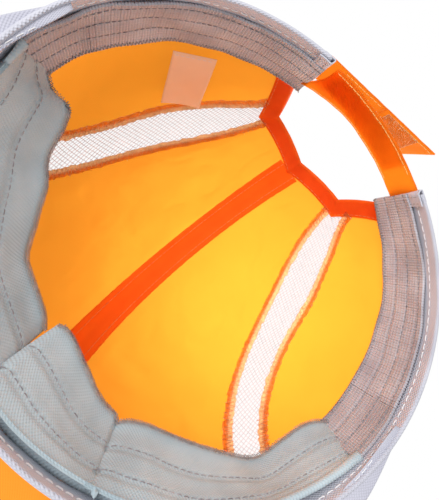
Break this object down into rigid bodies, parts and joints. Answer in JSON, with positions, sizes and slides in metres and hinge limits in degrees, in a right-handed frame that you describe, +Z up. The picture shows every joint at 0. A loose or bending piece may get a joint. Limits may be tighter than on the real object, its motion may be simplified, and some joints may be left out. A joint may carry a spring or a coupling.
{
  "type": "peaked outdoor cap",
  "caption": "Soft peaked sun cap with translucent panels, mesh vents, ribbed sweatband, arched back opening and a hook-and-loop strap.",
  "frame": {"origin": "centre of the head opening, on the plane that the rim rests on", "axes": "+Z up through the crown, -Y out along the peak, +X towards the wearer's left"},
  "size_m": [0.2102, 0.2536, 0.122],
  "materials": {
    "crown_cloth": "thin plain-weave polyester",
    "vent_mesh": "open hexagonal mesh",
    "overlock_seam": "overlocked seam allowance",
    "seam_tape": "flat woven tape",
    "rim_tape": "satin tape",
    "sweatband_knit": "brushed wicking knit",
    "ribbed_elastic": "ribbed elastic",
    "peak_board": "plain",
    "peak_cloth": "plain-weave polyester",
    "edge_facing": "satin tape",
    "strap_webbing": "satin nylon",
    "hook_and_loop": "fine hook and loop pile",
    "label_satin": "plain woven label, blank"
  },
  "bodies": {
    "cap": {"crown_panel_left": "crown_cloth", "crown_panel_right": "crown_cloth", "side_panel_left": "crown_cloth", "side_panel_right": "crown_cloth", "mesh_strip_left": "vent_mesh", "mesh_strip_right": "vent_mesh", "seam_band_left_upper": "overlock_seam", "seam_band_left_lower": "overlock_seam", "seam_band_right_upper": "overlock_seam", "seam_band_right_lower": "overlock_seam", "centre_seam_tape": "seam_tape", "arch_binding": "seam_tape", "rim_band": "rim_tape", "corner_tab_left": "rim_tape", "corner_tab_right": "rim_tape", "sweatband_front": "sweatband_knit", "sweatband_front_left": "sweatband_knit", "sweatband_front_right": "sweatband_knit", "sweatband_side_left": "ribbed_elastic", "sweatband_side_right": "ribbed_elastic", "peak_board": "peak_board", "peak_top_cover": "peak_cloth", "peak_under_cover": "peak_cloth", "peak_edge_facing": "edge_facing"},
    "strap_inner_body": {"strap_inner": "strap_webbing", "loop_patch": "hook_and_loop"},
    "strap_outer_body": {"strap_outer": "strap_webbing"},
    "strap_end_body": {"strap_outer_end": "strap_webbing", "hook_patch": "hook_and_loop"},
    "label_body": {"care_label": "label_satin"}
  },
  "joints": [
    {"name": "outer_strap_peel", "type": "hinge", "parent": "cap", "child": "strap_outer_body", "pos_m": [0.0326, 0.08603, 0.0115], "axis": [0, 0, -1], "range_deg": [0, 100]},
    {"name": "strap_end_peel", "type": "hinge", "parent": "strap_outer_body", "child": "strap_end_body", "pos_m": [0.004, 0.09423, 0.0115], "axis": [0, 0, -1], "range_deg": [-18, 90]},
    {"name": "inner_strap_swing", "type": "hinge", "parent": "cap", "child": "strap_inner_body", "pos_m": [-0.0326, 0.0838, 0.0115], "axis": [0, 0, -1], "range_deg": [0, 75]},
    {"name": "label_flap", "type": "hinge", "parent": "cap", "child": "label_body", "pos_m": [0.076, 0.053, 0.0408], "axis": [-0.6606, 0.7507, 0], "range_deg": [-50, 0]}
  ]
}
